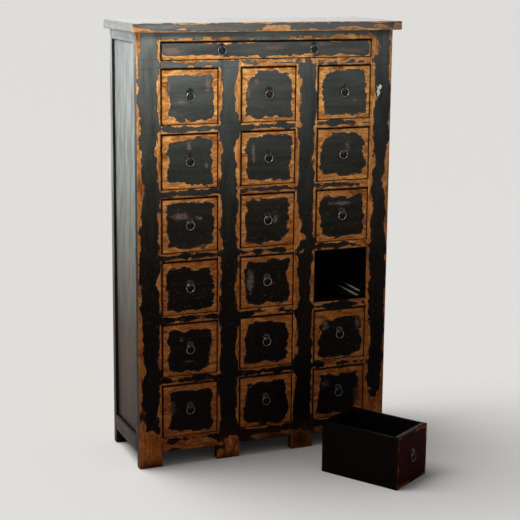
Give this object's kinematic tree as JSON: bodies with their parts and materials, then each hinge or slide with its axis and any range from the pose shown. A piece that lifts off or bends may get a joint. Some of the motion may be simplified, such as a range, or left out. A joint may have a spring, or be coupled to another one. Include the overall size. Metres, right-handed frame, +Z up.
{
  "type": "apothecary cabinet",
  "caption": "Tall free-standing apothecary cabinet in worn lacquered wood: a grid of square ring-pull drawers under a wide shallow drawer, with a removed drawer standing on the floor.",
  "frame": {"origin": "on the floor, at the bottom centre of the box around the cabinet and the drawer that stands in front of it; the cabinet's own front plane is at y = +0.0805 m and its centre line at x = 0", "axes": "+Z up, -Y the way the drawers open, +X to the right when facing the front"},
  "size_m": [0.927, 0.767, 1.45],
  "materials": {
    "lacquered_wood": "thin blue-black lacquer with a soft sheen, rubbed through to amber wood along edges",
    "dark_wood": "dark stained wood, front edges rubbed to amber",
    "bare_wood": "plain unlacquered boards",
    "iron": "dark forged iron, rubbed bright on the ring"
  },
  "bodies": {
    "cabinet": {"top_board": "lacquered_wood", "front_stile_1": "lacquered_wood", "front_stile_2": "lacquered_wood", "front_stile_3": "lacquered_wood", "front_stile_4": "lacquered_wood", "side_frame_left": "lacquered_wood", "side_frame_right": "lacquered_wood", "rear_post_left": "lacquered_wood", "rear_post_right": "lacquered_wood", "side_panel_left": "lacquered_wood", "side_panel_right": "lacquered_wood", "back_panel": "bare_wood", "top_rail": "lacquered_wood", "runner_frame_0": "dark_wood", "runner_frame_1": "dark_wood", "runner_frame_2": "dark_wood", "runner_frame_3": "dark_wood", "runner_frame_4": "dark_wood", "runner_frame_5": "dark_wood", "runner_frame_6": "dark_wood"},
    "drawer_floor": {"drawer_floor": "lacquered_wood"},
    "drawer_r1_c1": {"drawer_r1_c1": "lacquered_wood"},
    "drawer_r1_c2": {"drawer_r1_c2": "lacquered_wood"},
    "drawer_r1_c3": {"drawer_r1_c3": "lacquered_wood"},
    "drawer_r2_c1": {"drawer_r2_c1": "lacquered_wood"},
    "drawer_r2_c2": {"drawer_r2_c2": "lacquered_wood"},
    "drawer_r2_c3": {"drawer_r2_c3": "lacquered_wood"},
    "drawer_r3_c1": {"drawer_r3_c1": "lacquered_wood"},
    "drawer_r3_c2": {"drawer_r3_c2": "lacquered_wood"},
    "drawer_r3_c3": {"drawer_r3_c3": "lacquered_wood"},
    "drawer_r4_c1": {"drawer_r4_c1": "lacquered_wood"},
    "drawer_r4_c2": {"drawer_r4_c2": "lacquered_wood"},
    "drawer_r5_c1": {"drawer_r5_c1": "lacquered_wood"},
    "drawer_r5_c2": {"drawer_r5_c2": "lacquered_wood"},
    "drawer_r5_c3": {"drawer_r5_c3": "lacquered_wood"},
    "drawer_r6_c1": {"drawer_r6_c1": "lacquered_wood"},
    "drawer_r6_c2": {"drawer_r6_c2": "lacquered_wood"},
    "drawer_r6_c3": {"drawer_r6_c3": "lacquered_wood"},
    "drawer_wide": {"drawer_wide": "lacquered_wood"},
    "ring_floor": {"ring_floor": "iron"},
    "ring_wide_left": {"ring_wide_left": "iron"},
    "ring_wide_right": {"ring_wide_right": "iron"},
    "ring_r1_c1": {"ring_r1_c1": "iron"},
    "ring_r1_c2": {"ring_r1_c2": "iron"},
    "ring_r1_c3": {"ring_r1_c3": "iron"},
    "ring_r2_c1": {"ring_r2_c1": "iron"},
    "ring_r2_c2": {"ring_r2_c2": "iron"},
    "ring_r2_c3": {"ring_r2_c3": "iron"},
    "ring_r3_c1": {"ring_r3_c1": "iron"},
    "ring_r3_c2": {"ring_r3_c2": "iron"},
    "ring_r3_c3": {"ring_r3_c3": "iron"},
    "ring_r4_c1": {"ring_r4_c1": "iron"},
    "ring_r4_c2": {"ring_r4_c2": "iron"},
    "ring_r5_c1": {"ring_r5_c1": "iron"},
    "ring_r5_c2": {"ring_r5_c2": "iron"},
    "ring_r5_c3": {"ring_r5_c3": "iron"},
    "ring_r6_c1": {"ring_r6_c1": "iron"},
    "ring_r6_c2": {"ring_r6_c2": "iron"},
    "ring_r6_c3": {"ring_r6_c3": "iron"}
  },
  "joints": [
    {"name": "drawer_wide_slide", "type": "slide", "parent": "cabinet", "child": "drawer_wide", "axis": [0, -1, 0], "range_m": [0, 0.24]},
    {"name": "drawer_floor_slide", "type": "slide", "parent": "cabinet", "child": "drawer_floor", "axis": [0.5344, -0.8453, 0], "range_m": [0, 0.3]},
    {"name": "drawer_r6_c3_slide", "type": "slide", "parent": "cabinet", "child": "drawer_r6_c3", "axis": [0, -1, 0], "range_m": [0, 0.105]},
    {"name": "drawer_r2_c2_slide", "type": "slide", "parent": "cabinet", "child": "drawer_r2_c2", "axis": [0, -1, 0], "range_m": [0, 0.24]},
    {"name": "ring_floor_swing", "type": "hinge", "parent": "drawer_floor", "child": "ring_floor", "pos_m": [0.34116, -0.33818, 0.1004], "axis": [-0.8453, -0.5344, 0], "range_deg": [0, 165]},
    {"name": "ring_wide_left_swing", "type": "hinge", "parent": "drawer_wide", "child": "ring_wide_left", "pos_m": [-0.163, 0.0749, 1.3742], "axis": [-1, 0, 0], "range_deg": [0, 165]},
    {"name": "ring_r2_c2_swing", "type": "hinge", "parent": "drawer_r2_c2", "child": "ring_r2_c2", "pos_m": [0, 0.0749, 1.025], "axis": [-1, 0, 0], "range_deg": [0, 165]},
    {"name": "drawer_r3_c3_slide", "type": "slide", "parent": "cabinet", "child": "drawer_r3_c3", "axis": [0, -1, 0], "range_m": [0, 0.24]},
    {"name": "drawer_r5_c1_slide", "type": "slide", "parent": "cabinet", "child": "drawer_r5_c1", "axis": [0, -1, 0], "range_m": [0, 0.24]},
    {"name": "drawer_r4_c2_slide", "type": "slide", "parent": "cabinet", "child": "drawer_r4_c2", "axis": [0, -1, 0], "range_m": [0, 0.24]},
    {"name": "drawer_r1_c1_slide", "type": "slide", "parent": "cabinet", "child": "drawer_r1_c1", "axis": [0, -1, 0], "range_m": [0, 0.24]},
    {"name": "drawer_r1_c2_slide", "type": "slide", "parent": "cabinet", "child": "drawer_r1_c2", "axis": [0, -1, 0], "range_m": [0, 0.24]},
    {"name": "drawer_r1_c3_slide", "type": "slide", "parent": "cabinet", "child": "drawer_r1_c3", "axis": [0, -1, 0], "range_m": [0, 0.24]},
    {"name": "drawer_r2_c1_slide", "type": "slide", "parent": "cabinet", "child": "drawer_r2_c1", "axis": [0, -1, 0], "range_m": [0, 0.24]},
    {"name": "drawer_r2_c3_slide", "type": "slide", "parent": "cabinet", "child": "drawer_r2_c3", "axis": [0, -1, 0], "range_m": [0, 0.24]},
    {"name": "drawer_r3_c1_slide", "type": "slide", "parent": "cabinet", "child": "drawer_r3_c1", "axis": [0, -1, 0], "range_m": [0, 0.24]},
    {"name": "drawer_r3_c2_slide", "type": "slide", "parent": "cabinet", "child": "drawer_r3_c2", "axis": [0, -1, 0], "range_m": [0, 0.24]},
    {"name": "drawer_r4_c1_slide", "type": "slide", "parent": "cabinet", "child": "drawer_r4_c1", "axis": [0, -1, 0], "range_m": [0, 0.24]},
    {"name": "drawer_r5_c2_slide", "type": "slide", "parent": "cabinet", "child": "drawer_r5_c2", "axis": [0, -1, 0], "range_m": [0, 0.24]},
    {"name": "drawer_r5_c3_slide", "type": "slide", "parent": "cabinet", "child": "drawer_r5_c3", "axis": [0, -1, 0], "range_m": [0, 0.24]},
    {"name": "drawer_r6_c1_slide", "type": "slide", "parent": "cabinet", "child": "drawer_r6_c1", "axis": [0, -1, 0], "range_m": [0, 0.24]},
    {"name": "drawer_r6_c2_slide", "type": "slide", "parent": "cabinet", "child": "drawer_r6_c2", "axis": [0, -1, 0], "range_m": [0, 0.24]},
    {"name": "ring_wide_right_swing", "type": "hinge", "parent": "drawer_wide", "child": "ring_wide_right", "pos_m": [0.157, 0.0749, 1.3742], "axis": [-1, 0, 0], "range_deg": [0, 165]},
    {"name": "ring_r1_c1_swing", "type": "hinge", "parent": "drawer_r1_c1", "child": "ring_r1_c1", "pos_m": [-0.26983, 0.0749, 1.2313], "axis": [-1, 0, 0], "range_deg": [0, 165]},
    {"name": "ring_r1_c2_swing", "type": "hinge", "parent": "drawer_r1_c2", "child": "ring_r1_c2", "pos_m": [0, 0.0749, 1.2313], "axis": [-1, 0, 0], "range_deg": [0, 165]},
    {"name": "ring_r1_c3_swing", "type": "hinge", "parent": "drawer_r1_c3", "child": "ring_r1_c3", "pos_m": [0.26983, 0.0749, 1.2313], "axis": [-1, 0, 0], "range_deg": [0, 165]},
    {"name": "ring_r2_c1_swing", "type": "hinge", "parent": "drawer_r2_c1", "child": "ring_r2_c1", "pos_m": [-0.26983, 0.0749, 1.025], "axis": [-1, 0, 0], "range_deg": [0, 165]},
    {"name": "ring_r2_c3_swing", "type": "hinge", "parent": "drawer_r2_c3", "child": "ring_r2_c3", "pos_m": [0.26983, 0.0749, 1.025], "axis": [-1, 0, 0], "range_deg": [0, 165]},
    {"name": "ring_r3_c1_swing", "type": "hinge", "parent": "drawer_r3_c1", "child": "ring_r3_c1", "pos_m": [-0.26983, 0.0749, 0.8187], "axis": [-1, 0, 0], "range_deg": [0, 165]},
    {"name": "ring_r3_c2_swing", "type": "hinge", "parent": "drawer_r3_c2", "child": "ring_r3_c2", "pos_m": [0, 0.0749, 0.8187], "axis": [-1, 0, 0], "range_deg": [0, 165]},
    {"name": "ring_r3_c3_swing", "type": "hinge", "parent": "drawer_r3_c3", "child": "ring_r3_c3", "pos_m": [0.26983, 0.0749, 0.8187], "axis": [-1, 0, 0], "range_deg": [0, 165]},
    {"name": "ring_r4_c1_swing", "type": "hinge", "parent": "drawer_r4_c1", "child": "ring_r4_c1", "pos_m": [-0.26983, 0.0749, 0.6124], "axis": [-1, 0, 0], "range_deg": [0, 165]},
    {"name": "ring_r4_c2_swing", "type": "hinge", "parent": "drawer_r4_c2", "child": "ring_r4_c2", "pos_m": [0, 0.0749, 0.6124], "axis": [-1, 0, 0], "range_deg": [0, 165]},
    {"name": "ring_r5_c1_swing", "type": "hinge", "parent": "drawer_r5_c1", "child": "ring_r5_c1", "pos_m": [-0.26983, 0.0749, 0.4061], "axis": [-1, 0, 0], "range_deg": [0, 165]},
    {"name": "ring_r5_c2_swing", "type": "hinge", "parent": "drawer_r5_c2", "child": "ring_r5_c2", "pos_m": [0, 0.0749, 0.4061], "axis": [-1, 0, 0], "range_deg": [0, 165]},
    {"name": "ring_r5_c3_swing", "type": "hinge", "parent": "drawer_r5_c3", "child": "ring_r5_c3", "pos_m": [0.26983, 0.0749, 0.4061], "axis": [-1, 0, 0], "range_deg": [0, 165]},
    {"name": "ring_r6_c1_swing", "type": "hinge", "parent": "drawer_r6_c1", "child": "ring_r6_c1", "pos_m": [-0.26983, 0.0749, 0.1998], "axis": [-1, 0, 0], "range_deg": [0, 165]},
    {"name": "ring_r6_c2_swing", "type": "hinge", "parent": "drawer_r6_c2", "child": "ring_r6_c2", "pos_m": [0, 0.0749, 0.1998], "axis": [-1, 0, 0], "range_deg": [0, 165]},
    {"name": "ring_r6_c3_swing", "type": "hinge", "parent": "drawer_r6_c3", "child": "ring_r6_c3", "pos_m": [0.26983, 0.0749, 0.1998], "axis": [-1, 0, 0], "range_deg": [0, 165]}
  ]
}
